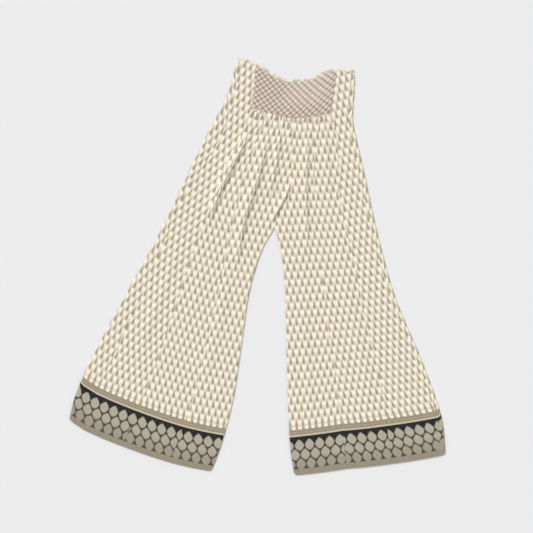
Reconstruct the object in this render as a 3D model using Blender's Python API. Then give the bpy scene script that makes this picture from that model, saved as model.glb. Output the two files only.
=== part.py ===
"""Flared trousers laid flat, front up.

Each leg is cut in six gores, three in front and three behind. The back outer gore folds round the
side of the leg and meets the front at a side seam that lies just inside the edge. The front gores
hang from a smocked yoke, and one binding runs all round the waist.

The underside lies on z = 0, +Y runs up to the waist and +Z is up. Tables and sizes are in
millimetres, and the meshes are in metres. Right and left are the wearer's: right is at -X.
"""

import math

import bmesh
import bpy
from mathutils import Vector
from mathutils.geometry import interpolate_bezier

# Driving sizes of the cloth, in millimetres
CLOTH = 1.2
LAYER_GAP = 0.3
SEAM_GAP = 0.3
SIDE_RADIUS = 2.0
FRONT_REST = 3.2
INSEAM_REST = 2 * CLOTH + LAYER_GAP
HEM_BOW = 3.0

# The binding at the waist is a doubled strip
BINDING_WIDTH = 7.0
BINDING_WALL = 1.5
BINDING_STEPS = 36

# Smocking on the yoke: cells across and down, each a raised lozenge between tied points
SMOCK_ACROSS = 13
SMOCK_DOWN = 6.5
SMOCK_RISE = 2.0
STEPS_A_CELL = 4

# Rows of the leg's sections: beside the yoke, then from the yoke to the hem, the first of them along
# the centre front
YOKE_ROWS = 4
LEG_ROWS = 30
CENTRE_ROWS = 9
CROTCH_ROW = YOKE_ROWS + CENTRE_ROWS

# Columns of each panel's sections
GORE_COLUMNS = {"outer": 6, "middle": 6, "inner": 8}
BACK_COLUMNS = 8
UNDER_COLUMNS = 3
ARC_STEPS = 4

# Centre of the laid garment's box in the tables' own frame. The part's origin is there
BOX_CENTRE = Vector((-1.5, 0.51, 0.0))
MM = 0.001

# The waist edge, left to right. Each row is x, y
WAIST = [(-48, 523), (-28, 518), (14, 499), (50, 475), (72, 468.5), (100, 467.5), (128, 472), (168, 488),
         (204, 495), (240, 491.5)]

# Corners of the yoke's lower edge, where the gore seams and the centre front start. Each row is x, y
YOKE_LOWER = [(-16, 396), (25, 384), (87, 368.5), (140, 375), (184, 384)]

# The centre front seam, from the yoke to the crotch. Each row is x, y
CENTRE = [(87, 368.5), (86, 280), (82, 190), (58, 150), (42, 98)]

# The seams of each leg, from the waist or the yoke down to the hem. Each row is x, y
LEGS = {
    "right": {
        "fold": [(-50, 515.5), (-64, 470), (-84, 410), (-121, 341), (-170, 241), (-247, 81), (-335, -79),
                 (-411, -221), (-455, -319), (-472, -384)],
        "side": [(-43, 514), (-58, 440), (-88, 335), (-140, 245), (-198, 152), (-271, -29), (-341, -178),
                 (-396, -302), (-435, -409)],
        "outer": [(-16, 396), (-45, 318), (-80, 252), (-112, 166), (-160, 40), (-232, -179), (-290, -335),
                  (-340, -449)],
        "middle": [(25, 384), (-12, 291), (-37, 216), (-70, 76), (-117, -141), (-163, -330), (-220, -490)],
        "inseam": [(42, 98), (10, 41), (-21, -59), (-42, -199), (-62, -330), (-90, -439), (-117, -512)],
    },
    "left": {
        "fold": [(240.5, 483.5), (241, 450), (237, 385), (240, 345), (264, 241), (299, 81), (344, -79),
                 (411, -239), (458, -374), (469, -468)],
        "side": [(233.5, 484), (233, 450), (229, 385), (231, 340), (252, 241), (288, 81), (333, -79),
                 (400, -239), (447, -374), (456, -473)],
        "outer": [(184, 384), (197, 336), (202, 256), (208, 150), (238, 21), (270, -136), (310, -304),
                  (334, -493)],
        "middle": [(140, 375), (141, 266), (144, 166), (154, 60), (168, -89), (185, -209), (203, -339),
                   (223, -505)],
        "inseam": [(42, 98), (53, 61), (66, -20), (71, -140), (74, -279), (80, -439), (91, -522)],
    },
}

# Where each seam line meets the waist, as x. "inside" is the centre of the front and the back
WAIST_SEAMS = {
    "right": {"fold": -48, "side": -41, "outer": -2, "middle": 42, "inside": 88},
    "left": {"fold": 240, "side": 233, "outer": 196, "middle": 142, "inside": 88},
}

# Folds that fall from the yoke. Each row is the height of its ridge, its width on the left and on the
# right, and its line down the cloth
FOLDS = [
    (4.5, 20, 9, [(-18, 342), (-56, 270), (-84, 216), (-107, 162), (-124, 100)]),
    (4.0, 9, 18, [(28, 322), (8, 255), (-8, 198), (-28, 140), (-42, 78), (-56, -10)]),
    (3.0, 12, 12, [(56, 345), (50, 290), (40, 230), (28, 180)]),
    (3.5, 8, 14, [(90, 190), (70, 166), (54, 138), (47, 108)]),
    (4.0, 10, 16, [(130, 345), (127, 270), (124, 190), (126, 110), (130, 20)]),
    (2.5, 14, 12, [(166, 350), (172, 270), (178, 180)]),
    (2.2, 24, 20, [(-190, 60), (-250, -90), (-305, -230)]),
    (2.0, 22, 24, [(-66, 20), (-98, -140), (-140, -300)]),
    (2.2, 22, 26, [(196, 120), (222, -60), (262, -240), (290, -400)]),
    (1.8, 20, 20, [(112, -60), (122, -240), (140, -400)]),
]
FOLD_FADE = 0.3
FOLD_STEPS = 40

# Small gathers under the yoke: one to every two columns of a gore, gone after a few rows
GATHER_RISE = 2.0
GATHER_ROWS = 3

COLOURS = {
    "printed cotton": (0.64, 0.57, 0.43, 1.0),
    "smocked cotton": (0.60, 0.49, 0.40, 1.0),
    "binding": (0.66, 0.62, 0.48, 1.0),
}
ROUGHNESS = 0.9


def curve_through(points, pieces=12):
    """A smooth polyline through a table's points."""
    knots = [Vector(point) for point in points]
    reach = [2 * knots[0] - knots[1]] + knots + [2 * knots[-1] - knots[-2]]
    line = [knots[0]]
    for before, start, end, after in zip(reach, reach[1:], reach[2:], reach[3:]):
        leaving = start + (end - before) / 6
        arriving = end - (after - start) / 6
        line += interpolate_bezier(start, leaving, arriving, end, pieces + 1)[1:]
    return [point.to_2d() for point in line]


def evenly(line, steps):
    """Points at even distances along a polyline, its ends included."""
    lengths = [0.0]
    for start, end in zip(line, line[1:]):
        lengths.append(lengths[-1] + (end - start).length)
    points = []
    piece = 0
    for step in range(steps + 1):
        wanted = lengths[-1] * step / steps
        while piece < len(line) - 2 and lengths[piece + 1] < wanted:
            piece += 1
        share = (wanted - lengths[piece]) / (lengths[piece + 1] - lengths[piece])
        points.append(line[piece].lerp(line[piece + 1], min(share, 1.0)))
    return points


def below_waist(x, depth):
    """The point this far below the waist edge, square to it, under the given x."""
    for start, end in zip(WAIST_LINE, WAIST_LINE[1:]):
        if x <= end.x or end is WAIST_LINE[-1]:
            break
    along = (end - start).normalized()
    square = Vector((along.y, -along.x))
    return start.lerp(end, (x - start.x) / (end.x - start.x)) + square * depth


def along_binding(x_from, x_to, columns):
    """Points along the upper edge of the cloth, just under the binding."""
    depth = BINDING_WIDTH + SEAM_GAP
    return [below_waist(x_from + (x_to - x_from) * k / columns, depth) for k in range(columns + 1)]


def waist_top(side, left, right, columns):
    """The upper edge of a gore, between two of its leg's seams."""
    return along_binding(WAIST_SEAMS[side][left], WAIST_SEAMS[side][right], columns)


def leg_lines(side):
    """Every seam of a leg as one point for each row, from the waist to the hem."""
    tables = LEGS[side]
    tops = {name: below_waist(x, BINDING_WIDTH + SEAM_GAP) for name, x in WAIST_SEAMS[side].items()}
    lines = {}
    for name in ("fold", "side"):
        lines[name] = [tops[name]] + evenly(curve_through(tables[name]), YOKE_ROWS + LEG_ROWS)[1:]
    lower = {name: evenly(curve_through(tables[name]), LEG_ROWS) for name in ("outer", "middle")}
    centre = evenly(curve_through(CENTRE), CENTRE_ROWS)
    inseam = evenly(curve_through(tables["inseam"]), LEG_ROWS - CENTRE_ROWS)
    lower["inside"] = centre + inseam[1:]
    for name, points in lower.items():
        lines[name] = evenly([tops[name], points[0]], YOKE_ROWS) + points[1:]
    return lines


def fold_height(point):
    """How far the folds lift the cloth at a point."""
    most = 0.0
    for rise, left_width, right_width, line in FOLD_LINES:
        near = min(range(FOLD_STEPS + 1), key=lambda k: (line[k] - point).length_squared)
        along = (line[min(near + 1, FOLD_STEPS)] - line[max(near - 1, 0)]).normalized()
        offset = point - line[near]
        on_left = offset.cross(along) > 0
        reach = offset.length / (left_width if on_left else right_width)
        share = near / FOLD_STEPS
        fade = min(1.0, share / FOLD_FADE, (1 - share) / FOLD_FADE)
        if reach < 1:
            most = max(most, rise * math.sin(fade * math.pi / 2) * (1 + math.cos(math.pi * reach)) / 2)
    return most


def plan_rows(left, right, columns, top=None):
    """Rows of points between two seams. The upper rows may follow a curve, and the hem bows out."""
    rows = []
    last = len(left) - 1
    for row, (start, end) in enumerate(zip(left, right)):
        along = (end - start).normalized()
        start, end = start + along * SEAM_GAP / 2, end - along * SEAM_GAP / 2
        down = (left[min(row + 1, last)] - left[max(row - 1, 0)]).normalized()
        points = [start.lerp(end, k / columns) for k in range(columns + 1)]
        for k, point in enumerate(points):
            share = k / columns
            if top:
                lift = top[k] - top[0].lerp(top[-1], share)
                point += lift * max(0.0, 1 - row / YOKE_ROWS) ** 2
            point += down * HEM_BOW * 4 * share * (1 - share) * (row / last) ** 6
        rows.append(points)
    return rows


def lifted(point, height):
    """A point of the plan, at this height."""
    return Vector((point.x, point.y, height))


def cotton(name):
    material = bpy.data.materials.get(name)
    if material is None:
        material = bpy.data.materials.new(name)
        material.use_nodes = True
        shader = material.node_tree.nodes["Principled BSDF"]
        shader.inputs["Base Color"].default_value = COLOURS[name]
        shader.inputs["Roughness"].default_value = ROUGHNESS
        shader.inputs["Metallic"].default_value = 0.0
    return material


def cloth_wall(name, face, back, material, ring=False, plain_back=False):
    """One closed body of cloth between its face and its back, two grids of the same size."""
    mesh = bmesh.new()
    rows, columns = len(face), len(face[0])
    front, rear = ([[mesh.verts.new(point * MM) for point in row] for row in grid] for grid in (face, back))
    for grid in (front,) if plain_back else (front, rear):
        for above, below in zip(grid, grid[1:]):
            for k in range(0 if ring else 1, columns):
                mesh.faces.new([above[k - 1], above[k], below[k], below[k - 1]])
    upper = [(0, k) for k in range(columns)]
    lower = [(rows - 1, k) for k in range(columns)]
    if ring:
        edges = [upper, lower]
    else:
        right = [(i, columns - 1) for i in range(1, rows - 1)]
        left = [(i, 0) for i in range(1, rows - 1)]
        edges = [upper + right + lower[::-1] + left[::-1]]
    for edge in edges:
        for (i, k), (j, m) in zip(edge[-1:] + edge, edge):
            mesh.faces.new([front[i][k], front[j][m], rear[j][m], rear[i][k]])
    if plain_back:
        mesh.faces.new([rear[i][k] for i, k in edges[0]])
        bmesh.ops.delete(mesh, geom=[vert for vert in mesh.verts if not vert.link_faces], context="VERTS")
    sewn_piece(name, mesh, material)


def sewn_piece(name, mesh, material):
    """A named object of this closed mesh, with its normals out and its cut edges sharp."""
    bmesh.ops.translate(mesh, verts=mesh.verts, vec=-BOX_CENTRE * MM)
    bmesh.ops.recalc_face_normals(mesh, faces=mesh.faces)
    data = bpy.data.meshes.new(name)
    mesh.to_mesh(data)
    mesh.free()
    data.shade_smooth()
    data.set_sharp_from_angle(angle=math.radians(50))
    data.materials.append(cotton(material))
    TROUSERS.objects.link(bpy.data.objects.new(name, data))


def front_gore(side, gore, seams, first_row, top=None):
    """A front gore: its rows rise over the gathers and the folds, and lie flat at the inside leg."""
    columns = GORE_COLUMNS[gore]
    lines = LINES[side]
    rows = plan_rows(lines[seams[0]][first_row:], lines[seams[1]][first_row:], columns, top)

    def height(row, column):
        level = FRONT_REST + fold_height(rows[row][column])
        if gore != "outer":
            level += GATHER_RISE * (column % 2) * max(0.0, 1 - row / GATHER_ROWS)
        if gore == "inner" and column == columns and row + first_row > CROTCH_ROW:
            level = INSEAM_REST
        return level

    face, back = (
        [[lifted(point, height(i, k) - depth) for k, point in enumerate(row)] for i, row in enumerate(rows)]
        for depth in (0.0, CLOTH)
    )
    cloth_wall(f"{side}_front_{gore}_gore", face, back, "printed cotton")


def back_gore(side, gore, seams):
    """A back gore that lies flat under the leg, from the waist to the hem: its outline, one wall thick."""
    top = waist_top(side, *seams, BACK_COLUMNS)
    rows = plan_rows(LINES[side][seams[0]], LINES[side][seams[1]], BACK_COLUMNS, top)
    outline = rows[0] + [row[-1] for row in rows[1:-1]] + rows[-1][::-1] + [row[0] for row in rows[-2:0:-1]]
    mesh = bmesh.new()
    upper = [mesh.verts.new(lifted(point, CLOTH) * MM) for point in outline]
    lower = [mesh.verts.new(lifted(point, 0.0) * MM) for point in outline]
    mesh.faces.new(upper)
    mesh.faces.new(lower)
    for k in range(len(outline)):
        mesh.faces.new([upper[k - 1], upper[k], lower[k], lower[k - 1]])
    sewn_piece(f"{side}_back_{gore}_gore", mesh, "printed cotton")


def folded_gore(side):
    """The back outer gore: flat under the leg, round its outer edge, and up to the side seam on top."""
    lines = LINES[side]
    top = waist_top(side, "fold", "outer", UNDER_COLUMNS)
    under_rows = plan_rows(lines["fold"], lines["outer"], UNDER_COLUMNS, top)
    face, back = [], []
    for fold, side_seam, under in zip(lines["fold"], lines["side"], under_rows):
        across = (side_seam - fold).normalized()
        centre = fold + across * SIDE_RADIUS
        seam = side_seam - across * SEAM_GAP / 2
        for grid, depth in ((face, 0.0), (back, CLOTH)):
            radius = SIDE_RADIUS - depth
            points = [lifted(seam, FRONT_REST - depth)]
            for k in range(ARC_STEPS + 1):
                turn = math.pi / 2 - math.pi * k / ARC_STEPS
                place = centre - across * radius * math.cos(turn)
                points.append(lifted(place, SIDE_RADIUS + radius * math.sin(turn)))
            points += [lifted(place, depth) for place in under[1:]]
            grid.append(points)
    cloth_wall(f"{side}_back_outer_gore", face, back, "printed cotton")


def front_yoke():
    """The smocked yoke: a plain back, and a face raised into lozenges between the tied points."""
    across, down = SMOCK_ACROSS * STEPS_A_CELL, round(SMOCK_DOWN * STEPS_A_CELL)
    upper = along_binding(WAIST_SEAMS["right"]["outer"], WAIST_SEAMS["left"]["outer"], across)
    lower = evenly([Vector(point) for point in YOKE_LOWER], across)
    left, right = (evenly(LINES[side]["outer"][: YOKE_ROWS + 1], down) for side in ("right", "left"))
    face, back = [], []
    for i in range(down + 1):
        v = i / down
        face.append([])
        back.append([])
        for k in range(across + 1):
            u = k / across
            corners = upper[0].lerp(upper[-1], u).lerp(lower[0].lerp(lower[-1], u), v)
            point = left[i].lerp(right[i], u) + upper[k].lerp(lower[k], v) - corners
            point += Vector((SEAM_GAP / 2 * (1 - 2 * u), SEAM_GAP * v))
            tie = math.cos(2 * math.pi * SMOCK_ACROSS * u) * math.cos(2 * math.pi * SMOCK_DOWN * v)
            on_edge = i in (0, down) or k in (0, across)
            rise = 0.0 if on_edge else SMOCK_RISE * (1 - tie) / 2
            face[i].append(lifted(point, FRONT_REST + rise))
            back[i].append(lifted(point, FRONT_REST - CLOTH))
    cloth_wall("front_yoke", face, back, "smocked cotton", plain_back=True)


def waist_binding():
    """The binding: a doubled strip all round the waist, over the front and under the back."""
    start, end = WAIST_LINE[0].x, WAIST_LINE[-1].x
    middle = BINDING_WALL + LAYER_GAP / 2
    face, back = [], []
    places = [start + (end - start) * k / BINDING_STEPS for k in range(BINDING_STEPS + 1)]
    for depth in (0.0, BINDING_WIDTH):
        edge = [below_waist(x, depth) for x in places]
        for grid, radius in ((face, middle), (back, LAYER_GAP / 2)):
            ring = []
            for line, side in ((edge, 1), (edge[::-1], -1)):
                ring += [lifted(point, middle + side * radius) for point in line[1:-1]]
                inward = (line[-2] - line[-1]).normalized()
                for k in range(ARC_STEPS + 1):
                    turn = side * (math.pi / 2 - math.pi * k / ARC_STEPS)
                    place = line[-1] + inward * (middle - radius * math.cos(turn))
                    ring.append(lifted(place, middle + radius * math.sin(turn)))
            grid.append(ring)
    cloth_wall("waist_binding", face, back, "binding", ring=True)


for old in list(bpy.data.objects):
    bpy.data.objects.remove(old, do_unlink=True)

TROUSERS = bpy.data.collections.new("flared_trousers")
bpy.context.scene.collection.children.link(TROUSERS)
WAIST_LINE = curve_through(WAIST)
LINES = {side: leg_lines(side) for side in LEGS}
FOLD_LINES = [
    (rise, left_width, right_width, evenly(curve_through(line), FOLD_STEPS))
    for rise, left_width, right_width, line in FOLDS
]

waist_binding()
front_yoke()
for leg in LEGS:
    front_gore(leg, "outer", ("side", "outer"), 0, waist_top(leg, "side", "outer", GORE_COLUMNS["outer"]))
    front_gore(leg, "middle", ("outer", "middle"), YOKE_ROWS)
    front_gore(leg, "inner", ("middle", "inside"), YOKE_ROWS)
    folded_gore(leg)
    back_gore(leg, "middle", ("outer", "middle"))
    back_gore(leg, "inner", ("middle", "inside"))
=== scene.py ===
"""Flared printed cotton trousers with a smocked yoke, laid flat, front up.

Tables and sizes are in millimetres in the cutting plan's own frame, and the meshes are in metres.
Right and left are the wearer's: right is at -X, the waist at +Y, and +Z is up from the surface.
"""

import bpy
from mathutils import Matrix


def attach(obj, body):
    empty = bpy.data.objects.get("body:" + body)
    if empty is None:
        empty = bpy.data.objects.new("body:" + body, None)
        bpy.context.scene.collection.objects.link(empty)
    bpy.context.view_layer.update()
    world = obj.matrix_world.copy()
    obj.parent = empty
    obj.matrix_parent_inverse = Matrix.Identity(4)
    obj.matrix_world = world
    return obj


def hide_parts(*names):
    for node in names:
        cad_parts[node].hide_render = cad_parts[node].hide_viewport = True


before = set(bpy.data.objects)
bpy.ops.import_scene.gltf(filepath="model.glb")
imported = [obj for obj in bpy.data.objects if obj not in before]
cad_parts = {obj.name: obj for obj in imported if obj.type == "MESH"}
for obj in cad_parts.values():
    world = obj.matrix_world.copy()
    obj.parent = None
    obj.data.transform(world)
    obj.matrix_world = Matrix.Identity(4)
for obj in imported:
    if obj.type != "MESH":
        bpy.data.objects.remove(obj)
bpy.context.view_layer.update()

# Front gores
# Three to each leg, cut from border-printed cotton with the border along the hem. The middle and inner
# ones are gathered under the yoke and fall from it in soft folds. They are sewn edge to edge.

import math

import bmesh
import bpy
import numpy as np

MM = 0.001
PLAN_CENTRE = np.array([-1.5, 0.51, 0.0])

CLOTH = 0.6
SIDE_RADIUS = 2.0
FRONT_REST = 3.2
INSEAM_REST = 2.7
HEM_BOW = 1.2
HEM_CORNER = 8.0
HEM_CORNER_DRAWS = 4
HEM_TURNED = 12.0
HEM_TURN_DEPTH = 0.5
SEAM_DIP = 0.35
BINDING_WIDTH = 7.0
SEAM_GAP = 0.3

# Rows of cloth points: beside the yoke, then from the yoke to the hem, the first of them along the
# centre front
YOKE_ROWS = 24
LEG_ROWS = 180
CENTRE_ROWS = 54
CROTCH_ROW = YOKE_ROWS + CENTRE_ROWS
GORE_COLUMNS = {"outer": 44, "middle": 44, "inner": 60}

# Each row is x, y
WAIST = [(-48, 523), (-28, 518), (14, 499), (50, 475), (72, 468.5), (100, 467.5), (128, 472), (168, 488),
         (204, 495), (240, 491.5)]
YOKE_LOWER = [(-16, 396), (25, 384), (87, 368.5), (140, 375), (184, 384)]
CENTRE = [(87, 368.5), (86, 280), (82, 190), (58, 150), (42, 98)]
LEGS = {
    "right": {
        "fold": [(-50, 515.5), (-64, 470), (-84, 410), (-121, 341), (-170, 241), (-247, 81), (-335, -79),
                 (-411, -221), (-455, -319), (-472, -384)],
        "side": [(-43, 514), (-58, 440), (-88, 335), (-140, 245), (-198, 152), (-271, -29), (-341, -178),
                 (-396, -302), (-435, -409)],
        "outer": [(-16, 396), (-45, 318), (-80, 252), (-112, 166), (-160, 40), (-232, -179), (-290, -335),
                  (-340, -449)],
        "middle": [(25, 384), (-12, 291), (-37, 216), (-70, 76), (-117, -141), (-163, -330), (-220, -490)],
        "inseam": [(42, 98), (10, 41), (-21, -59), (-42, -199), (-62, -330), (-90, -439), (-117, -512)],
    },
    "left": {
        "fold": [(240.5, 483.5), (241, 450), (237, 385), (240, 345), (264, 241), (299, 81), (344, -79),
                 (411, -239), (458, -374), (469, -468)],
        "side": [(233.5, 484), (233, 450), (229, 385), (231, 340), (252, 241), (288, 81), (333, -79),
                 (400, -239), (447, -374), (456, -473)],
        "outer": [(184, 384), (197, 336), (202, 256), (208, 150), (238, 21), (270, -136), (310, -304),
                  (334, -493)],
        "middle": [(140, 375), (141, 266), (144, 166), (154, 60), (168, -89), (185, -209), (203, -339),
                   (223, -505)],
        "inseam": [(42, 98), (53, 61), (66, -20), (71, -140), (74, -279), (80, -439), (91, -522)],
    },
}
WAIST_SEAMS = {
    "right": {"fold": -48, "side": -41, "outer": -2, "middle": 42, "inside": 88},
    "left": {"fold": 240, "side": 233, "outer": 196, "middle": 142, "inside": 88},
}

# Folds that fall from the yoke. Each row is the height of its ridge, its width on the left and on the
# right, how far the ridge leans over (to the right above 0), the cloth hidden under it and in which
# gore, and its line
FOLDS = [
    (9.0, 26, 12, 2.5, 10, ("right", "middle"),
     [(-18, 342), (-56, 270), (-84, 216), (-107, 162), (-124, 100)]),
    (7.0, 22, 11, 2.0, 8, ("right", "inner"),
     [(26, 322), (8, 255), (-8, 198), (-28, 140), (-42, 78), (-56, -10)]),
    (4.5, 16, 9, 1.5, 4, ("right", "inner"), [(56, 345), (50, 290), (40, 230), (28, 180)]),
    (6.5, 18, 8, 1.5, 0, None, [(76, 204), (68, 176), (56, 152), (42, 128), (34, 108)]),
    (5.5, 20, 11, 1.5, 6, ("left", "inner"), [(126, 345), (122, 270), (119, 190), (121, 110), (125, 20)]),
    (2.5, 14, 12, 0.0, 0, None, [(166, 350), (172, 270), (178, 180)]),
    (2.2, 24, 20, 0.0, 0, None, [(-190, 60), (-250, -90), (-305, -230)]),
    (2.0, 22, 24, 0.0, 0, None, [(-66, 20), (-98, -140), (-140, -300)]),
    (2.2, 22, 26, 0.0, 0, None, [(196, 120), (222, -60), (262, -240), (290, -400)]),
    (1.8, 20, 20, 0.0, 0, None, [(112, -60), (122, -240), (140, -400)]),
]

# Creases and broad swells between them, troughs below 0. Each row is height, width, line
CREASES = [
    (-2.2, 5, [(84, 196), (77, 180), (64, 158), (51, 134), (46, 110)]),
    (-1.8, 4, [(-44, 268), (-68, 222), (-96, 168)]),
    (-1.6, 4, [(6, 268), (0, 240), (-8, 204)]),
    (4.0, 60, [(-4, 340), (-26, 250), (-44, 160), (-66, 80)]),
    (-2.0, 40, [(84, 300), (66, 230), (48, 160), (40, 110)]),
    (-0.9, 7, [(0, 352), (-26, 300), (-46, 258)]),
    (-1.0, 6, [(46, 350), (30, 296), (18, 246)]),
    (-0.8, 6, [(74, 350), (70, 304), (62, 262)]),
    (-0.9, 7, [(104, 352), (104, 300), (100, 250), (98, 214)]),
    (-0.8, 7, [(152, 352), (153, 300), (150, 244)]),
    (-0.7, 8, [(88, 240), (66, 200), (36, 172), (6, 156)]),
    (0.9, 8, [(100, 180), (84, 140), (72, 96), (70, 40)]),
    (-0.9, 8, [(50, 78), (66, 10), (82, -60)]),
    (0.8, 10, [(20, 90), (-10, 20), (-24, -60)]),
    (-0.6, 12, [(-150, 200), (-196, 110), (-226, 30)]),
    (0.8, 12, [(-126, 20), (-160, -90), (-204, -200)]),
    (-0.7, 12, [(-280, -60), (-330, -170), (-376, -262)]),
    (0.7, 14, [(-86, -260), (-104, -360), (-132, -450)]),
    (-0.7, 12, [(232, 240), (246, 150), (262, 60)]),
    (0.8, 12, [(300, -40), (340, -160), (372, -270)]),
    (-0.7, 12, [(176, 60), (192, -60), (206, -160)]),
    (0.7, 12, [(250, -260), (272, -370), (284, -452)]),
    (-0.6, 14, [(370, -240), (400, -340), (416, -430)]),
    (0.6, 10, [(88, -200), (94, -320), (108, -440)]),
]
FOLD_FADE = 0.3
FOLD_STEPS = 60
OVERHANG_SHARE = 0.6
TUCK_EDGE = 6.0

# How the print lies on each gore at these heights above the hem: how far its columns lean to the right
# going down, how far its rows fall going right, both in degrees, and where across it the gore starts
GRAIN_HEIGHTS = [0, 300, 600, 900]
GRAIN = {
    ("right", "outer"): ([-17, -22, -30, -24], [23, 30, 31, 27], 6.5),
    ("right", "middle"): ([-8, -8, -11, -20], [19, 22, 18, 15], 7.0),
    ("right", "inner"): ([-6.5, -6.5, -7, -9], [12, 13, 9, 5], 1.0),
    ("left", "outer"): ([24, 24, 19, 15.5], [-9, -8, -14, -19], 9.7),
    ("left", "middle"): ([16, 16, 10, 6], [-6, -5.5, -3, -3], 11.0),
    ("left", "inner"): ([5, 5.5, 6.5, 1], [-7, -4, -3, -1], 9.0),
}
GRAIN_FROM, GRAIN_FULL = 115, 320

# Gathers under the yoke: their ridge's height, and how far each runs down before it is gone
GATHER_RISE = 2.0
GATHER_LENGTHS = [62, 96, 48, 80, 54, 104, 44, 70]
GATHER_PITCH = {"middle": 3, "inner": 4}
GATHER_FULLNESS = 0.3
GATHER_FADE = 55
PLEAT_RISE = 0.6
GATHER_TUCK = 2.4
GATHER_DROP = 3.0
GATHER_MEAN_LENGTH, GATHER_LENGTH_SPREAD = 70, 30
PLEAT_SHARE = 0.6


def curve_through(points, pieces=12):
    """A smooth polyline through a table's points."""
    knots = np.array(points, float)
    reach = np.vstack([2 * knots[0] - knots[1], knots, 2 * knots[-1] - knots[-2]])
    t = np.linspace(0, 1, pieces + 1)[1:, None]
    line = [knots[:1]]
    for before, start, end, after in zip(reach, reach[1:], reach[2:], reach[3:]):
        leaving, arriving = start + (end - before) / 6, end - (after - start) / 6
        line.append((1 - t) ** 3 * start + 3 * (1 - t) ** 2 * t * leaving
                    + 3 * (1 - t) * t ** 2 * arriving + t ** 3 * end)
    return np.vstack(line)


def run_along(line):
    """How far along a line each of its points lies."""
    steps = np.linalg.norm(np.diff(line, axis=0), axis=-1)
    return np.concatenate([np.zeros_like(steps[:1]), np.cumsum(steps, axis=0)])


def evenly(line, steps):
    """Points at even distances along a polyline, its ends included."""
    line = np.array(line, float)
    run = run_along(line)
    wanted = np.linspace(0, run[-1], steps + 1)
    return np.stack([np.interp(wanted, run, line[:, axis]) for axis in (0, 1)], axis=-1)


def unit(vectors):
    return vectors / np.linalg.norm(vectors, axis=-1, keepdims=True)


def below_waist(x, depth):
    """Points this far below the waist edge, square to it, under the given x."""
    x = np.atleast_1d(np.array(x, float))
    after = np.clip(np.searchsorted(WAIST_LINE[:, 0], x), 1, len(WAIST_LINE) - 1)
    start, end = WAIST_LINE[after - 1], WAIST_LINE[after]
    along = unit(end - start)
    share = ((x - start[:, 0]) / (end[:, 0] - start[:, 0]))[:, None]
    square = np.stack([along[:, 1], -along[:, 0]], axis=-1)
    return start + share * (end - start) + square * depth


def along_binding(x_from, x_to, columns):
    """Points along the upper edge of the cloth, just under the binding."""
    return below_waist(np.linspace(x_from, x_to, columns + 1), BINDING_WIDTH + SEAM_GAP)


def leg_lines(side):
    """Every seam of a leg as one point for each row, from the waist to the hem."""
    tables = LEGS[side]
    tops = {name: below_waist(x, BINDING_WIDTH + SEAM_GAP)[0] for name, x in WAIST_SEAMS[side].items()}
    lines = {}
    for name in ("fold", "side"):
        lines[name] = evenly(curve_through(tables[name]), YOKE_ROWS + LEG_ROWS)
        lines[name][0] = tops[name]
    lower = {name: evenly(curve_through(tables[name]), LEG_ROWS) for name in ("outer", "middle")}
    centre = evenly(curve_through(CENTRE), CENTRE_ROWS)
    inseam = evenly(curve_through(tables["inseam"]), LEG_ROWS - CENTRE_ROWS)
    lower["inside"] = np.vstack([centre, inseam[1:]])
    for name, points in lower.items():
        lines[name] = np.vstack([evenly([tops[name], points[0]], YOKE_ROWS), points[1:]])
    return lines


def plan(left, right, columns, top=None):
    """A grid of points between two seams. Its upper rows may follow a curve, and the hem bows out."""
    last = len(left) - 1
    share = np.linspace(0, 1, columns + 1)[None, :, None]
    grid = left[:, None] * (1 - share) + right[:, None] * share
    row = np.arange(last + 1)[:, None, None]
    if top is not None:
        straight = top[0] * (1 - share) + top[-1] * share
        grid = grid + (top[None] - straight) * np.maximum(0, 1 - row / YOKE_ROWS) ** 2
    down = unit(np.gradient(left, axis=0))[:, None]
    return grid + down * HEM_BOW * 4 * share * (1 - share) * (row / last) ** 6


def corner_lift(edge, grid, up):
    """How far a rounded hem corner draws up each point that lies near its edge line."""
    inside = np.clip(HEM_CORNER - np.linalg.norm(grid - edge[:, None], axis=-1), 0, HEM_CORNER)
    short = HEM_CORNER - np.sqrt(HEM_CORNER ** 2 - inside ** 2)
    return short * np.maximum(1 - up / (HEM_CORNER_DRAWS * HEM_CORNER), 0)


def hem_rounded(grid, cut):
    """A gore's grid and cut, its hem rounded off at its last column."""
    lift = corner_lift(grid[:, -1], grid, cut[..., 1])
    upward = unit(-np.gradient(grid, axis=0))
    cut = cut.copy()
    cut[..., 1] += lift
    return grid + upward * lift[..., None], cut


def smooth(values, low, high):
    """0 below low and 1 above high, smooth between them."""
    share = np.clip((values - low) / (high - low), 0, 1)
    return share * share * (3 - 2 * share)


def crossed(first, second):
    """The area that two vectors span, above 0 where the second turns to the left."""
    return first[..., 0] * second[..., 1] - first[..., 1] * second[..., 0]


def cut_of(grid, side, gore):
    """Where each point of a gore lies on the printed cloth: across to the right, and up."""
    leans, tilts, start = GRAIN[side, gore]
    run = run_along(grid)
    up = run[-1] - run
    pinned = 0 if gore == "outer" else grid.shape[1] // 2
    line = grid[:, pinned]
    lean = np.radians(np.interp(up[:, pinned], GRAIN_HEIGHTS, leans))
    tilt = np.radians(np.interp(up[:, pinned], GRAIN_HEIGHTS, tilts))
    column = np.stack([-np.sin(lean), np.cos(lean)], axis=-1)
    row = np.stack([np.cos(tilt), -np.sin(tilt)], axis=-1)
    area = crossed(row, column)
    risen = np.append(line[:-1] - line[1:], [[0, 0]], axis=0)
    line_across = np.cumsum((crossed(risen, column) / area)[::-1])[::-1]
    line_up = np.cumsum((crossed(row, risen) / area)[::-1])[::-1]
    offset = grid - line[:, None]
    across = line_across[:, None] + crossed(offset, column[:, None]) / area[:, None]
    along = line_up[:, None] + crossed(row[:, None], offset) / area[:, None]
    share = smooth(up, GRAIN_FROM, GRAIN_FULL)
    return np.stack([across + start, up * (1 - share) + along * share], axis=-1)


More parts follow.
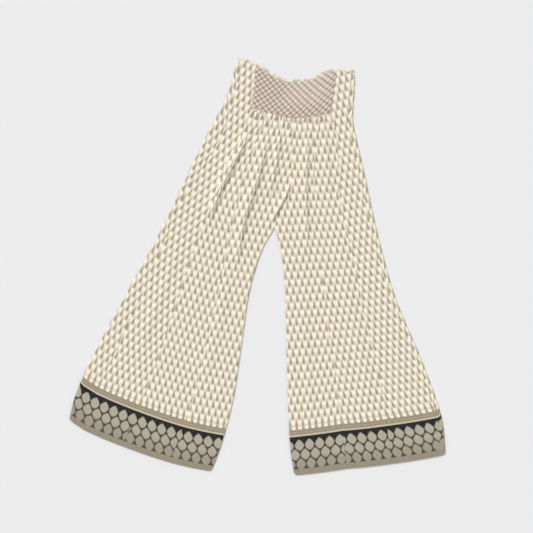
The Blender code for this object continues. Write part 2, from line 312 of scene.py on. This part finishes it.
def beside(points, line):
    """For each point, its share of the way along a line and its distance to the line's right."""
    along = unit(np.gradient(line, axis=0))
    near = np.argmin(((points[:, None] - line[None]) ** 2).sum(axis=-1), axis=1)
    offset = points - line[near]
    length = run_along(line)[-1]
    share = near / (len(line) - 1) + (offset * along[near]).sum(axis=-1) / length
    right = offset[:, 1] * along[near, 0] - offset[:, 0] * along[near, 1]
    return share, right


def bump(reach):
    """1 on a fold's ridge and 0 from its edge on."""
    return (1 + np.cos(math.pi * np.minimum(np.abs(reach), 1))) / 2


def fading(share):
    """1 along the middle of a fold, and down to 0 at its two ends."""
    return np.sin(np.clip(np.minimum(share, 1 - share) / FOLD_FADE, 0, 1) * math.pi / 2)


def drape(grid, cut, place):
    """Lays front cloth in its folds: the points moved sideways, their heights, and the cloth's cut."""
    points = grid.reshape(-1, 2)
    height, trough = np.zeros(len(points)), np.zeros(len(points))
    moved, hidden = points.copy(), np.zeros(len(points))
    for rise, left, right, lean, tucked, tucked_in, table in FOLDS:
        line = evenly(curve_through(table), FOLD_STEPS)
        share, side = beside(points, line)
        fade = fading(share)
        width = np.where(side < 0, left, right)
        height = np.maximum(height, rise * fade * bump(side / width))
        if lean:
            steep = np.where(np.sign(side) == np.sign(lean), OVERHANG_SHARE, 1.0)
            near = np.clip((share * FOLD_STEPS).astype(int), 0, FOLD_STEPS)
            along = unit(np.gradient(line, axis=0))[near]
            across = np.stack([-along[:, 1], along[:, 0]], axis=-1)
            moved += across * (lean * fade * bump(side / (width * steep)) ** 2)[:, None]
        if tucked_in == place:
            hidden += tucked * fade * np.clip(side / TUCK_EDGE + 0.5, 0, 1)
    for rise, width, table in CREASES:
        line = evenly(curve_through(table), FOLD_STEPS)
        share, side = beside(points, line)
        fade = fading(share)
        trough += rise * fade * bump(side / width)
    cut = cut.copy()
    cut[..., 0] += hidden.reshape(cut.shape[:2])
    return moved.reshape(grid.shape), (height + trough).reshape(cut.shape[:2]), cut


def lifted(grid, height):
    """Plan points at a height, as points of the mesh."""
    return np.concatenate([grid, np.broadcast_to(height, grid.shape[:2])[..., None]], axis=-1)


def cloth(name, face, back, cut, material, node, ring=False):
    """A thin closed shell of cloth between its face and its back, which stands for a CAD node."""
    rows, columns = face.shape[:2]

    quads = []
    for row in range(rows - 1):
        for k in range(columns if ring else columns - 1):
            around = [(row, k), (row, k + 1), (row + 1, k + 1), (row + 1, k)]
            quads.append([(0, i, m) for i, m in around[::-1]])
            quads.append([(1, i, m) for i, m in around])
    edges = [((0, k + 1), (0, k)) for k in range(columns if ring else columns - 1)]
    edges += [((rows - 1, k), (rows - 1, k + 1)) for k in range(columns if ring else columns - 1)]
    if not ring:
        edges += [((i, 0), (i + 1, 0)) for i in range(rows - 1)]
        edges += [((i + 1, columns - 1), (i, columns - 1)) for i in range(rows - 1)]
    quads += [[(0, *a), (0, *b), (1, *b), (1, *a)] for a, b in edges]
    corners = np.array(quads)
    index = (corners[..., 0] * rows + corners[..., 1]) * columns + corners[..., 2] % columns
    points = (np.concatenate([face.reshape(-1, 3), back.reshape(-1, 3)]) - PLAN_CENTRE) * MM
    data = bpy.data.meshes.new(name)
    data.from_pydata(points.tolist(), [], index.tolist())
    uv = data.uv_layers.new(name="cut")
    uv.data.foreach_set("uv", cut[corners[..., 1], corners[..., 2]].astype(np.float32).ravel())
    outward = bmesh.new()
    outward.from_mesh(data)
    bmesh.ops.recalc_face_normals(outward, faces=outward.faces)
    outward.to_mesh(data)
    outward.free()
    data.shade_smooth()
    data.set_sharp_from_angle(angle=math.radians(70))
    data.materials.append(material)
    piece = bpy.data.objects.new(name, data)
    bpy.context.scene.collection.objects.link(piece)
    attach(piece, "root")
    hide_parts(node)
    across = np.linalg.norm(np.diff(cut, axis=1), axis=-1)
    down = np.linalg.norm(np.diff(cut, axis=0), axis=-1)
    area = float((across[:-1] * down[:, :-1]).sum()) * MM * MM
    return piece


class Shade:
    """A node's output, used in sums like a number. Colours are mixed with Shade.blend."""

    tree = None

    def __init__(self, socket):
        self.socket = socket

    @classmethod
    def node(cls, kind, settings=None, output=0, **inputs):
        """The output of a new node, its settings made first and then its inputs, by name or number."""
        made = cls.tree.nodes.new(kind)
        for key, value in (settings or {}).items():
            setattr(made, key, value)
        for key, value in inputs.items():
            socket = made.inputs[int(key[1:]) if key[1:].isdigit() else key.replace("_", " ")]
            if isinstance(value, Shade):
                cls.tree.links.new(value.socket, socket)
            else:
                socket.default_value = value
        return cls(made.outputs[output])

    @classmethod
    def sum(cls, operation, *values):
        inputs = {f"_{place}": value for place, value in enumerate(values)}
        return cls.node("ShaderNodeMath", {"operation": operation}, **inputs)

    def __add__(self, other):
        return Shade.sum("ADD", self, other)

    def __radd__(self, other):
        return Shade.sum("ADD", other, self)

    def __sub__(self, other):
        return Shade.sum("SUBTRACT", self, other)

    def __rsub__(self, other):
        return Shade.sum("SUBTRACT", other, self)

    def __mul__(self, other):
        return Shade.sum("MULTIPLY", self, other)

    def __rmul__(self, other):
        return Shade.sum("MULTIPLY", other, self)

    def __truediv__(self, other):
        return Shade.sum("DIVIDE", self, other)

    def __abs__(self):
        return Shade.sum("ABSOLUTE", self)

    def __pow__(self, other):
        return Shade.sum("POWER", self, other)

    def __mod__(self, other):
        return Shade.sum("FLOORED_MODULO", self, other)

    def floor(self):
        return Shade.sum("FLOOR", self)

    def most(self, other):
        return Shade.sum("MAXIMUM", self, other)

    def sine(self):
        return Shade.sum("SINE", self)

    def step(self, low, high):
        """0 below low and 1 above high, smooth between them. It falls where low is the greater."""
        return Shade.node("ShaderNodeMapRange", {"interpolation_type": "SMOOTHSTEP"},
                          Value=self, From_Min=low, From_Max=high)

    @staticmethod
    def dots(across, up, pitch, outside, inside):
        """Half-offset rows of round dots, 1 in a dot and 0 off it. Outside and inside are its rim."""
        row = up / pitch
        aside = (across / pitch + (row.floor() % 2.0) * 0.5) % 1.0 - 0.5
        above = row % 1.0 - 0.5
        return (aside * aside + above * above).step(outside, inside)

    @staticmethod
    def below(up, height, soft):
        """1 below a height on the cloth and 0 above it."""
        return up.step(height + soft, height - soft)

    @staticmethod
    def mean(share, first, second):
        """A number between two."""
        return first + share * (second - first)

    @staticmethod
    def blend(share, first, second):
        """A colour between two."""
        return Shade.node("ShaderNodeMix", {"data_type": "RGBA"}, 2, Factor=share, _6=first, _7=second)


LIT = 0.9


def colour(red, green, blue):
    """A colour as seen on a screen, 0 to 255, as the shader takes it."""
    return tuple(LIT * (channel / 255) ** 2.2 for channel in (red, green, blue)) + (1.0,)


def new_cotton(name, roughness=0.92):
    """A matt cotton material, and its shader. The maths that follow go in its tree."""
    material = bpy.data.materials.new(name)
    material.use_nodes = True
    Shade.tree = material.node_tree
    shader = material.node_tree.nodes["Principled BSDF"]
    shader.inputs["Roughness"].default_value = roughness
    shader.inputs["Specular IOR Level"].default_value = 0.2
    shader.inputs["Sheen Weight"].default_value = 0.08
    return material, shader


def cut_map():
    """The map of the cut cloth, and its two measures, across and up, in millimetres."""
    place = Shade.node("ShaderNodeUVMap", {"uv_map": "cut"})
    across = Shade.node("ShaderNodeSeparateXYZ", Vector=place)
    return place, across, Shade(across.socket.node.outputs[1])


def weave(across, up, thread, depth):
    """The bump of a plain weave, its threads this wide, in millimetres."""
    over = (across * (math.pi / thread)).sine() * (up * (math.pi / thread)).sine()
    slub = Shade.node("ShaderNodeTexNoise", Vector=Shade.node(
        "ShaderNodeCombineXYZ", X=across * 0.9, Y=up * 0.16), Scale=1.0, Detail=2.0)
    return Shade.node("ShaderNodeBump", Strength=0.35, Distance=depth * MM, Height=over * 0.6 + slub)


def dye(shader, paint, across, up, thread=0.8, depth=0.12):
    """Gives a cotton its colour and the bump of its threads."""
    Shade.tree.links.new(paint.socket, shader.inputs["Base Color"])
    Shade.tree.links.new(weave(across, up, thread, depth).socket, shader.inputs["Normal"])


# The print: half-offset rows of a taupe drop, wide at its foot, between cream drops, wide at their head
PRINT_PITCH, PRINT_ROW, PRINT_START = 16.2, 19.4, 118.0
DROP_HEAD, DROP_FOOT, DROP_SOFT = 0.10, 0.225, 0.07
CREAM = colour(253, 246, 226)
CREAM_TAIL = colour(247, 235, 214)
GROUND = colour(219, 208, 184)
TAUPE_OLIVE = colour(167, 156, 135)
TAUPE_MAUVE = colour(165, 151, 142)

# The border, up from the hem. Lozenges stand in three half-offset rows on a dark ground
LOZENGE_PITCH, LOZENGE_ROW, LOZENGE_FIRST = 25.5, 23.5, 26.5
LOZENGE_HALF_WIDTH, LOZENGE_HALF_HEIGHT = 11.9, 14.2
LOZENGE_ROWS = 3
HEM_BAND, DARK_TOP, LINE_TOP, BAND_TOP = 13.0, 95.0, 99.0, 112.0
HEM_DOT_PITCH, HEM_DOTS_FROM, HEM_DOT_STRENGTH = 5.2, 1.5, 0.5
BAND_DOT_PITCH, BAND_DOT_STRENGTH = 6.5, 0.7
PRINT_EDGE = 0.6
DOTS_UP, DOT_HALF, DOT_HALF_HEIGHT = 115.8, 0.30, 4.0
LOZENGE = colour(177, 173, 153)
LOZENGE_LOW = colour(162, 154, 134)
BORDER_DARK = colour(33, 35, 40)
BORDER_BROWN = colour(80, 75, 69)
HEM_TAUPE = colour(158, 149, 129)
LINE_BEIGE = colour(204, 194, 168)
BAND_TAUPE = colour(170, 158, 136)
BAND_DOT = colour(118, 108, 92)


def printed_cotton():
    material, shader = new_cotton("printed_cotton")
    place, across, up = cut_map()

    row = (up - PRINT_START) / PRINT_ROW
    parity = row.floor() % 2.0
    column = across / PRINT_PITCH + parity * 0.5
    down = 1.0 - row % 1.0
    side = abs(column % 1.0 - 0.5)
    cell = Shade.node("ShaderNodeTexWhiteNoise", {"noise_dimensions": "2D"}, 0, Vector=Shade.node(
        "ShaderNodeCombineXYZ", X=column.floor(), Y=row.floor()))
    half = DROP_HEAD + (DROP_FOOT - DROP_HEAD) * down.step(0.05, 0.95)
    drop = (half - side).step(-DROP_SOFT, DROP_SOFT)
    foot = down + side * side * 4.0
    drop = drop * down.step(0.0, 0.2) * foot.step(1.04, 0.88)
    drop = drop * (0.72 + 0.28 * down.step(0.1, 0.7)) * (0.86 + 0.14 * cell)
    head = 0.5 - side
    cream_half = 0.33 - 0.11 * down.step(0.0, 1.0)
    cream = (cream_half - head).step(-0.10, 0.10) * down.step(-0.02, 0.2)
    cream = cream * (1.0 - 0.85 * down.step(0.5, 1.0))
    tail = down.step(0.3, 0.85)
    taupe = Shade.blend(cell, TAUPE_OLIVE, TAUPE_MAUVE)
    paint = Shade.blend(cream, GROUND, Shade.blend(tail, CREAM, CREAM_TAIL))
    paint = Shade.blend(drop, paint, taupe)

    dots_across = abs((across / PRINT_PITCH + 0.5) % 1.0 - 0.5) / DOT_HALF
    dots_up = (up - DOTS_UP) / DOT_HALF_HEIGHT
    bright = (dots_across * dots_across + dots_up * dots_up).step(1.5, 0.6)
    paint = Shade.blend(up.step(PRINT_START + 1.2, PRINT_START - 0.8), paint, BAND_TAUPE)
    paint = Shade.blend(bright, paint, CREAM)

    band_dot = Shade.dots(across, up - LINE_TOP, BAND_DOT_PITCH, 0.12, 0.04)
    band = Shade.blend(band_dot * BAND_DOT_STRENGTH, BAND_TAUPE, BAND_DOT)
    paint = Shade.blend(Shade.below(up, BAND_TOP, PRINT_EDGE), paint, band)
    paint = Shade.blend(Shade.below(up, LINE_TOP, PRINT_EDGE), paint, LINE_BEIGE)

    dark = Shade.blend(up.step(48.0, 84.0), BORDER_BROWN, BORDER_DARK)
    lozenges = None
    for line in range(LOZENGE_ROWS):
        rise = up - (LOZENGE_FIRST + line * LOZENGE_ROW)
        along = across / LOZENGE_PITCH + 0.5 * (line % 2)
        wide = abs(along % 1.0 - 0.5) * (LOZENGE_PITCH / LOZENGE_HALF_WIDTH)
        tall = abs(rise) / LOZENGE_HALF_HEIGHT
        pointed, rounded = wide ** 1.35 + tall ** 1.35, wide ** 1.7 + tall ** 1.7
        shape = Shade.mean(rise.step(-3.0, 3.0), rounded, pointed).step(1.12, 0.74)
        lozenges = shape if lozenges is None else lozenges.most(shape)
    lozenge_paint = Shade.blend(up.step(26.0, 52.0), LOZENGE_LOW, LOZENGE)
    dark = Shade.blend(lozenges, dark, lozenge_paint)
    paint = Shade.blend(Shade.below(up, DARK_TOP, PRINT_EDGE), paint, dark)
    paint = Shade.blend(up.step(HEM_BAND + 3.0, HEM_BAND - 1.0), paint, HEM_TAUPE)
    hem_dot = Shade.dots(across, up - HEM_DOTS_FROM, HEM_DOT_PITCH, 0.16, 0.05)
    hem_dot = hem_dot * up.step(HEM_BAND, HEM_BAND - 2.0)
    paint = Shade.blend(hem_dot * HEM_DOT_STRENGTH, paint, BAND_DOT)

    worn = Shade.node("ShaderNodeTexNoise", Vector=place, Scale=0.35, Detail=3.0)
    paint = Shade.blend(worn.step(0.45, 0.8) * 0.12, paint, GROUND)
    dye(shader, paint, across, up)
    return material


WAIST_LINE = curve_through(WAIST)
LINES = {side: leg_lines(side) for side in LEGS}
PRINTED_COTTON = printed_cotton()


def gathered(side, gore, grid, cut):
    """The gathers at the top of a gore: how high they stand, and the cut of the fuller cloth."""
    columns = GORE_COLUMNS[gore]
    place = np.linspace(0, GATHER_PITCH[gore], columns + 1)
    first = 0 if side == "right" else 3
    lengths = np.array([GATHER_LENGTHS[(first + int(k)) % len(GATHER_LENGTHS)] for k in place])
    depth = run_along(grid)
    fade = np.clip(1 - depth / lengths, 0, 1)
    rise = GATHER_RISE * (1 - np.cos(2 * math.pi * place)) / 2 * fade
    pleat_fade = np.clip(1 - depth / (PLEAT_SHARE * lengths), 0, 1)
    rise += PLEAT_RISE * np.sin(4 * math.pi * place + first) * pleat_fade
    cut = cut.copy()
    middle = cut[:, columns // 2:columns // 2 + 1, 0]
    full = np.exp(-depth / GATHER_FADE)
    cut[..., 0] = middle + (cut[..., 0] - middle) * (1 + GATHER_FULLNESS * full)
    cut[..., 0] += GATHER_TUCK * np.sin(2 * math.pi * place + 0.4 * first) * np.clip(full * 1.4, 0, 1)
    cut[..., 1] += GATHER_DROP * (lengths - GATHER_MEAN_LENGTH) / GATHER_LENGTH_SPREAD * full
    return rise, cut


def front_gore(side, gore, seams, first_row, top=None):
    columns = GORE_COLUMNS[gore]
    left, right = (LINES[side][seam][first_row:] for seam in seams)
    grid = plan(left, right, columns, top)
    cut = cut_of(grid, side, gore)
    if gore == "inner":
        grid, cut = hem_rounded(grid, cut)
    moved, height, cut = drape(grid, cut, (side, gore))
    height = height + FRONT_REST
    if gore != "outer":
        rise, cut = gathered(side, gore, grid, cut)
        height += rise
    height[:, [0, -1]] -= SEAM_DIP
    if gore == "inner":
        height[CROTCH_ROW - first_row + 1:, -1] = INSEAM_REST
    hem = np.clip((HEM_TURNED - cut[..., 1]) / 2, 0, 1)
    face = lifted(moved, height)
    back = lifted(moved, height - CLOTH - HEM_TURN_DEPTH * hem)
    name = f"{side}_front_{gore}_gore"
    cloth("cloth_" + name, face, back, cut, PRINTED_COTTON, name)


for leg in LEGS:
    side_x, outer_x = WAIST_SEAMS[leg]["side"], WAIST_SEAMS[leg]["outer"]
    front_gore(leg, "outer", ("side", "outer"), 0, along_binding(side_x, outer_x, GORE_COLUMNS["outer"]))
    front_gore(leg, "middle", ("outer", "middle"), YOKE_ROWS)
    front_gore(leg, "inner", ("middle", "inside"), YOKE_ROWS)

# Back outer gores
# One to each leg, of the same printed cotton. It lies under the leg, rolls round the leg's outer edge
# and is sewn to the front just inside that edge.

UNDER_COLUMNS = 24
ARC_STEPS = 10
STRIP_STEPS = 5

# Where across the print each strip's seam edge lies
SEAM_PRINT = {"right": 9.7, "left": 6.5}


def folded_gore(side):
    lines = LINES[side]
    fold, seam = lines["fold"], lines["side"]
    fold_x, outer_x = WAIST_SEAMS[side]["fold"], WAIST_SEAMS[side]["outer"]
    under = plan(fold, lines["outer"], UNDER_COLUMNS, along_binding(fold_x, outer_x, UNDER_COLUMNS))
    up = run_along(fold)[-1] - run_along(fold)
    upward = -unit(np.gradient(fold, axis=0))
    across = unit(seam - fold)
    centre = fold + across * SIDE_RADIUS
    layers = []
    for depth in (0.0, CLOTH):
        radius = SIDE_RADIUS - depth
        points = []
        for k in range(STRIP_STEPS):
            share = k / STRIP_STEPS
            rise = FRONT_REST + (2 * SIDE_RADIUS - FRONT_REST) * share ** 2
            place = seam * (1 - share) + centre * share
            points.append(np.column_stack([place, np.full(len(place), rise - depth)]))
        for k in range(ARC_STEPS + 1):
            turn = math.pi / 2 - math.pi * k / ARC_STEPS
            place = centre - across * radius * math.cos(turn)
            rise = SIDE_RADIUS + radius * math.sin(turn)
            points.append(np.column_stack([place, np.full(len(place), rise)]))
        for k in range(1, UNDER_COLUMNS + 1):
            points.append(np.column_stack([under[:, k], np.full(len(under), depth)]))
        layers.append(np.stack(points, axis=1))
    for layer in layers:
        lift = corner_lift(fold, layer[..., :2], up[:, None])
        layer[..., :2] += upward[:, None] * lift[..., None]
    face, back = layers
    face[:, 0, 2] -= SEAM_DIP
    run = run_along(face)
    across = np.linalg.norm(np.diff(face, axis=1), axis=-1)
    across = np.concatenate([np.zeros((len(face), 1)), np.cumsum(across, axis=1)], axis=1)
    across = SEAM_PRINT[side] + (-across if side == "right" else across)
    cut = np.stack([across, run[-1] - run + lift], axis=-1)
    name = f"{side}_back_outer_gore"
    cloth("cloth_" + name, face, back, cut, PRINTED_COTTON, name)


for leg in LEGS:
    folded_gore(leg)

# Back middle and inner gores
# Two more to each leg, of the same cotton, which run up to the waist behind the yoke. They lie flat on
# the surface under the front, with a few creases that lift them a little.

BACK_COLUMNS = 24
BACK_CREASE_LIFT = 0.5


def back_gore(side, gore, seams):
    top = along_binding(*(WAIST_SEAMS[side][seam] for seam in seams), BACK_COLUMNS)
    grid = plan(*(LINES[side][seam] for seam in seams), BACK_COLUMNS, top)
    cut = cut_of(grid, side, gore)
    if gore == "inner":
        grid, cut = hem_rounded(grid, cut)
    lift = drape(grid, cut, (side, gore))[1]
    lift = BACK_CREASE_LIFT * np.clip(lift / np.abs(lift).max(), 0, 1)
    lift[:, [0, -1]] = 0
    name = f"{side}_back_{gore}_gore"
    cloth("cloth_" + name, lifted(grid, lift), lifted(grid, lift + CLOTH), cut, PRINTED_COTTON, name)


for leg in LEGS:
    back_gore(leg, "middle", ("outer", "middle"))
    back_gore(leg, "inner", ("middle", "inside"))

# Front yoke
# One panel of the same cotton, drawn up by smocking into a lattice of small raised lozenges between
# tied points. Towards its upper left as worn, the lozenges are pulled out into slanting ribs. Its
# grooves and tied points are painted taupe, as painted shade.

SMOCK_PITCH, SMOCK_ROW, SMOCK_RISE = 15.8, 14.6, 2.0
SMOCK_LEAN, SMOCK_FOOT = 0.18, 368.0
SMOCK_SAG, SMOCK_LOWEST = 0.0016, 70.0
YOKE_COLUMNS, YOKE_LINES = 160, 90
YOKE_WIDTH, YOKE_LENGTH = 200, 112
SMOCK_FULLNESS = 1.08
SMOCK_SHARPNESS, SMOCK_OVERLAP, SMOCK_BACK_SHARE = 1.6, 0.55, 0.5
SMOCK_EDGE = 4
RIB_STRENGTH = 0.6
RIB_CENTRE, RIB_REACH = (0.66, 0.30), (0.30, 0.42)
YOKE_CREAM = colour(233, 220, 201)
YOKE_PINK = colour(226, 209, 193)
# Painted shade: the taupe laid into the smocking's grooves and tied points, where the cloth sinks
YOKE_GROOVE_SHADE = colour(158, 143, 128)


def smocked_cotton():
    material, shader = new_cotton("smocked_cotton")
    place, across, up = cut_map()
    tied = Shade.node("ShaderNodeAttribute", {"attribute_name": "tied"}, 2)
    uneven = Shade.node("ShaderNodeTexNoise", Vector=place, Scale=0.08, Detail=2.0)
    paint = Shade.blend(uneven.step(0.35, 0.65), YOKE_CREAM, YOKE_PINK)
    # Painted shade: the more tightly a point is tied, the lower it lies and the more taupe it is painted
    paint = Shade.blend(tied.step(0.05, 1.5), paint, YOKE_GROOVE_SHADE)
    dye(shader, paint, across, up)
    return material


def front_yoke():
    across, down = YOKE_COLUMNS, YOKE_LINES
    upper = along_binding(WAIST_SEAMS["right"]["outer"], WAIST_SEAMS["left"]["outer"], across)
    lower = evenly(YOKE_LOWER, across)
    left, right = (evenly(LINES[side]["outer"][: YOKE_ROWS + 1], down) for side in ("right", "left"))
    u, v = np.linspace(0, 1, across + 1)[None, :, None], np.linspace(0, 1, down + 1)[:, None, None]
    corners = (upper[0] * (1 - u) + upper[-1] * u) * (1 - v) + (lower[0] * (1 - u) + lower[-1] * u) * v
    grid = left[:, None] * (1 - u) + right[:, None] * u + upper[None] * (1 - v) + lower[None] * v - corners
    u, v = u[..., 0], v[..., 0]
    x, y = grid[..., 0], grid[..., 1] - SMOCK_FOOT
    cell_x = (x - SMOCK_LEAN * y) / SMOCK_PITCH
    cell_y = (SMOCK_SAG * (x - SMOCK_LOWEST) ** 2 - y) / SMOCK_ROW
    rib = np.exp(-((u - RIB_CENTRE[0]) / RIB_REACH[0]) ** 4 - ((v - RIB_CENTRE[1]) / RIB_REACH[1]) ** 4)
    falling, rising = np.cos(2 * math.pi * (cell_x - cell_y)), np.cos(2 * math.pi * (cell_x + cell_y))
    weight = 1 - RIB_STRENGTH * rib
    falling = ((1 + falling) / 2) ** SMOCK_SHARPNESS
    rising = ((1 + rising) / 2) ** SMOCK_SHARPNESS * weight
    tie = falling + rising - SMOCK_OVERLAP * falling * rising
    edge = np.minimum(np.minimum(u, 1 - u) * YOKE_COLUMNS, np.minimum(v, 1 - v) * YOKE_LINES)
    rise = SMOCK_RISE * (1 - tie / (2 - SMOCK_OVERLAP)) * np.clip(edge / SMOCK_EDGE, 0, 1)
    face = lifted(grid, FRONT_REST + rise)
    back = lifted(grid, FRONT_REST - CLOTH + rise * SMOCK_BACK_SHARE)
    cut = np.stack(np.broadcast_arrays(u * YOKE_WIDTH, (1 - v) * YOKE_LENGTH), axis=-1)
    cut *= SMOCK_FULLNESS
    piece = cloth("cloth_front_yoke", face, back, cut, smocked_cotton(), "front_yoke")
    # How tightly each point is tied. The material reads it to paint shade into the grooves
    tied = piece.data.attributes.new("tied", "FLOAT", "POINT")
    tied.data.foreach_set("value", np.tile(tie.ravel(), 2).astype(np.float32))


front_yoke()

# Waist binding
# A narrow strip of pale cotton, folded over the raw edge of the waist all round and stitched down
# through all layers, so that it shows inside and outside.

BINDING_STEPS = 180
BINDING_WALL, LAYER_GAP = 1.5, 0.3
BINDING_ARC = 8

# The strip's section, as depth below the waist edge and distance out from the middle of the garment
BINDING_SECTION = [(7.0, 1.65), (4.6, 1.65), (2.4, 1.65), (0.6, 1.6), (0.15, 1.3), (0.0, 0.9), (0.15, 0.5),
                   (0.6, 0.2), (2.4, 0.15), (4.6, 0.15), (7.0, 0.15)]
BINDING_INSIDE = [(7.0, 1.15), (4.6, 1.15), (2.4, 1.15), (0.75, 1.1), (0.6, 1.0), (0.5, 0.9), (0.6, 0.8),
                  (0.75, 0.7), (2.4, 0.65), (4.6, 0.65), (7.0, 0.65)]
BINDING_PALE = colour(240, 232, 210)
BINDING_GREEN = colour(198, 195, 175)


def binding_cotton():
    material, shader = new_cotton("waist_binding")
    across, up = cut_map()[1:]
    patch = Shade.node("ShaderNodeTexNoise", Vector=Shade.node(
        "ShaderNodeCombineXYZ", X=across * 0.075, Y=up * 0.05), Scale=1.0, Detail=1.0)
    paint = Shade.blend(patch.step(0.40, 0.62), BINDING_PALE, BINDING_GREEN)
    dye(shader, paint, across, up, thread=0.7, depth=0.1)
    return material


def binding_ring(depth, radius):
    """The strip's line round the waist, at this depth below its edge and this far from its middle."""
    middle = BINDING_WALL + LAYER_GAP / 2
    edge = below_waist(np.linspace(WAIST_LINE[0, 0], WAIST_LINE[-1, 0], BINDING_STEPS + 1), depth)
    ring = []
    for line, side in ((edge, 1), (edge[::-1], -1)):
        ring += [(*point, middle + side * radius) for point in line[1:-1]]
        inward = unit(line[-2] - line[-1])
        for k in range(BINDING_ARC + 1):
            turn = side * (math.pi / 2 - math.pi * k / BINDING_ARC)
            place = line[-1] + inward * (middle - radius * math.cos(turn))
            ring.append((*place, middle + radius * math.sin(turn)))
    return np.array(ring)


def waist_binding():
    face = np.stack([binding_ring(*place) for place in BINDING_SECTION])
    back = np.stack([binding_ring(*place) for place in BINDING_INSIDE])
    closed = np.concatenate([face, face[:, :1]], axis=1)
    round_waist = run_along(closed[0])
    section = run_along(np.array(BINDING_SECTION))
    cut = np.stack(np.broadcast_arrays(round_waist[None, :], section[:, None]), axis=-1)
    cloth("cloth_waist_binding", face, back, cut, binding_cotton(), "waist_binding",
          ring=True)


waist_binding()

# Surface, light and camera
# A plain pale surface under soft studio light, seen straight from above through a long lens.

PHOTO_WIDTH = 1.3325
PHOTO_CENTRE = (0.0230, -0.0008)
LENS, SENSOR = 85.0, 36.0
FLOOR_SIZE, FLOOR_DROP = 8.0, 0.0004
FLOOR_COLOUR = (0.78, 0.78, 0.782, 1.0)
ROOM_COLOUR, ROOM_LIGHT = (1.0, 1.0, 1.0, 1.0), 0.46

# Each row is the lamp's name, its strength, its softness and its turns about X, Y and Z, in degrees
LAMPS = [
    ("key", 2.3, 24, (48, 0, 222)),
    ("fill", 0.5, 60, (38, 0, 70)),
]

data = bpy.data.meshes.new("floor")
half = FLOOR_SIZE / 2
floor_corners = [(-half, -half, 0), (half, -half, 0), (half, half, 0), (-half, half, 0)]
data.from_pydata(floor_corners, [], [(0, 1, 2, 3)])
floor = bpy.data.objects.new("floor", data)
floor.location = (0, 0, -FLOOR_DROP)
bpy.context.scene.collection.objects.link(floor)
pale = bpy.data.materials.new("pale_surface")
pale.use_nodes = True
surface = pale.node_tree.nodes["Principled BSDF"]
surface.inputs["Base Color"].default_value = FLOOR_COLOUR
surface.inputs["Roughness"].default_value = 0.9
surface.inputs["Specular IOR Level"].default_value = 0.1
data.materials.append(pale)

world = bpy.data.worlds.new("soft_room")
world.use_nodes = True
world.node_tree.nodes["Background"].inputs["Color"].default_value = ROOM_COLOUR
world.node_tree.nodes["Background"].inputs["Strength"].default_value = ROOM_LIGHT
bpy.context.scene.world = world

for name, strength, softness, turns in LAMPS:
    lamp = bpy.data.lights.new(name, "SUN")
    lamp.energy = strength
    lamp.angle = math.radians(softness)
    lamp_object = bpy.data.objects.new(name, lamp)
    lamp_object.rotation_euler = [math.radians(angle) for angle in turns]
    bpy.context.scene.collection.objects.link(lamp_object)

camera_data = bpy.data.cameras.new("camera")
camera_data.lens = LENS
camera_data.sensor_width = SENSOR
camera = bpy.data.objects.new("camera", camera_data)
camera.location = (*PHOTO_CENTRE, PHOTO_WIDTH * LENS / SENSOR + FRONT_REST * MM)
bpy.context.scene.collection.objects.link(camera)
bpy.context.scene.camera = camera
bpy.context.scene.view_settings.view_transform = "Standard"
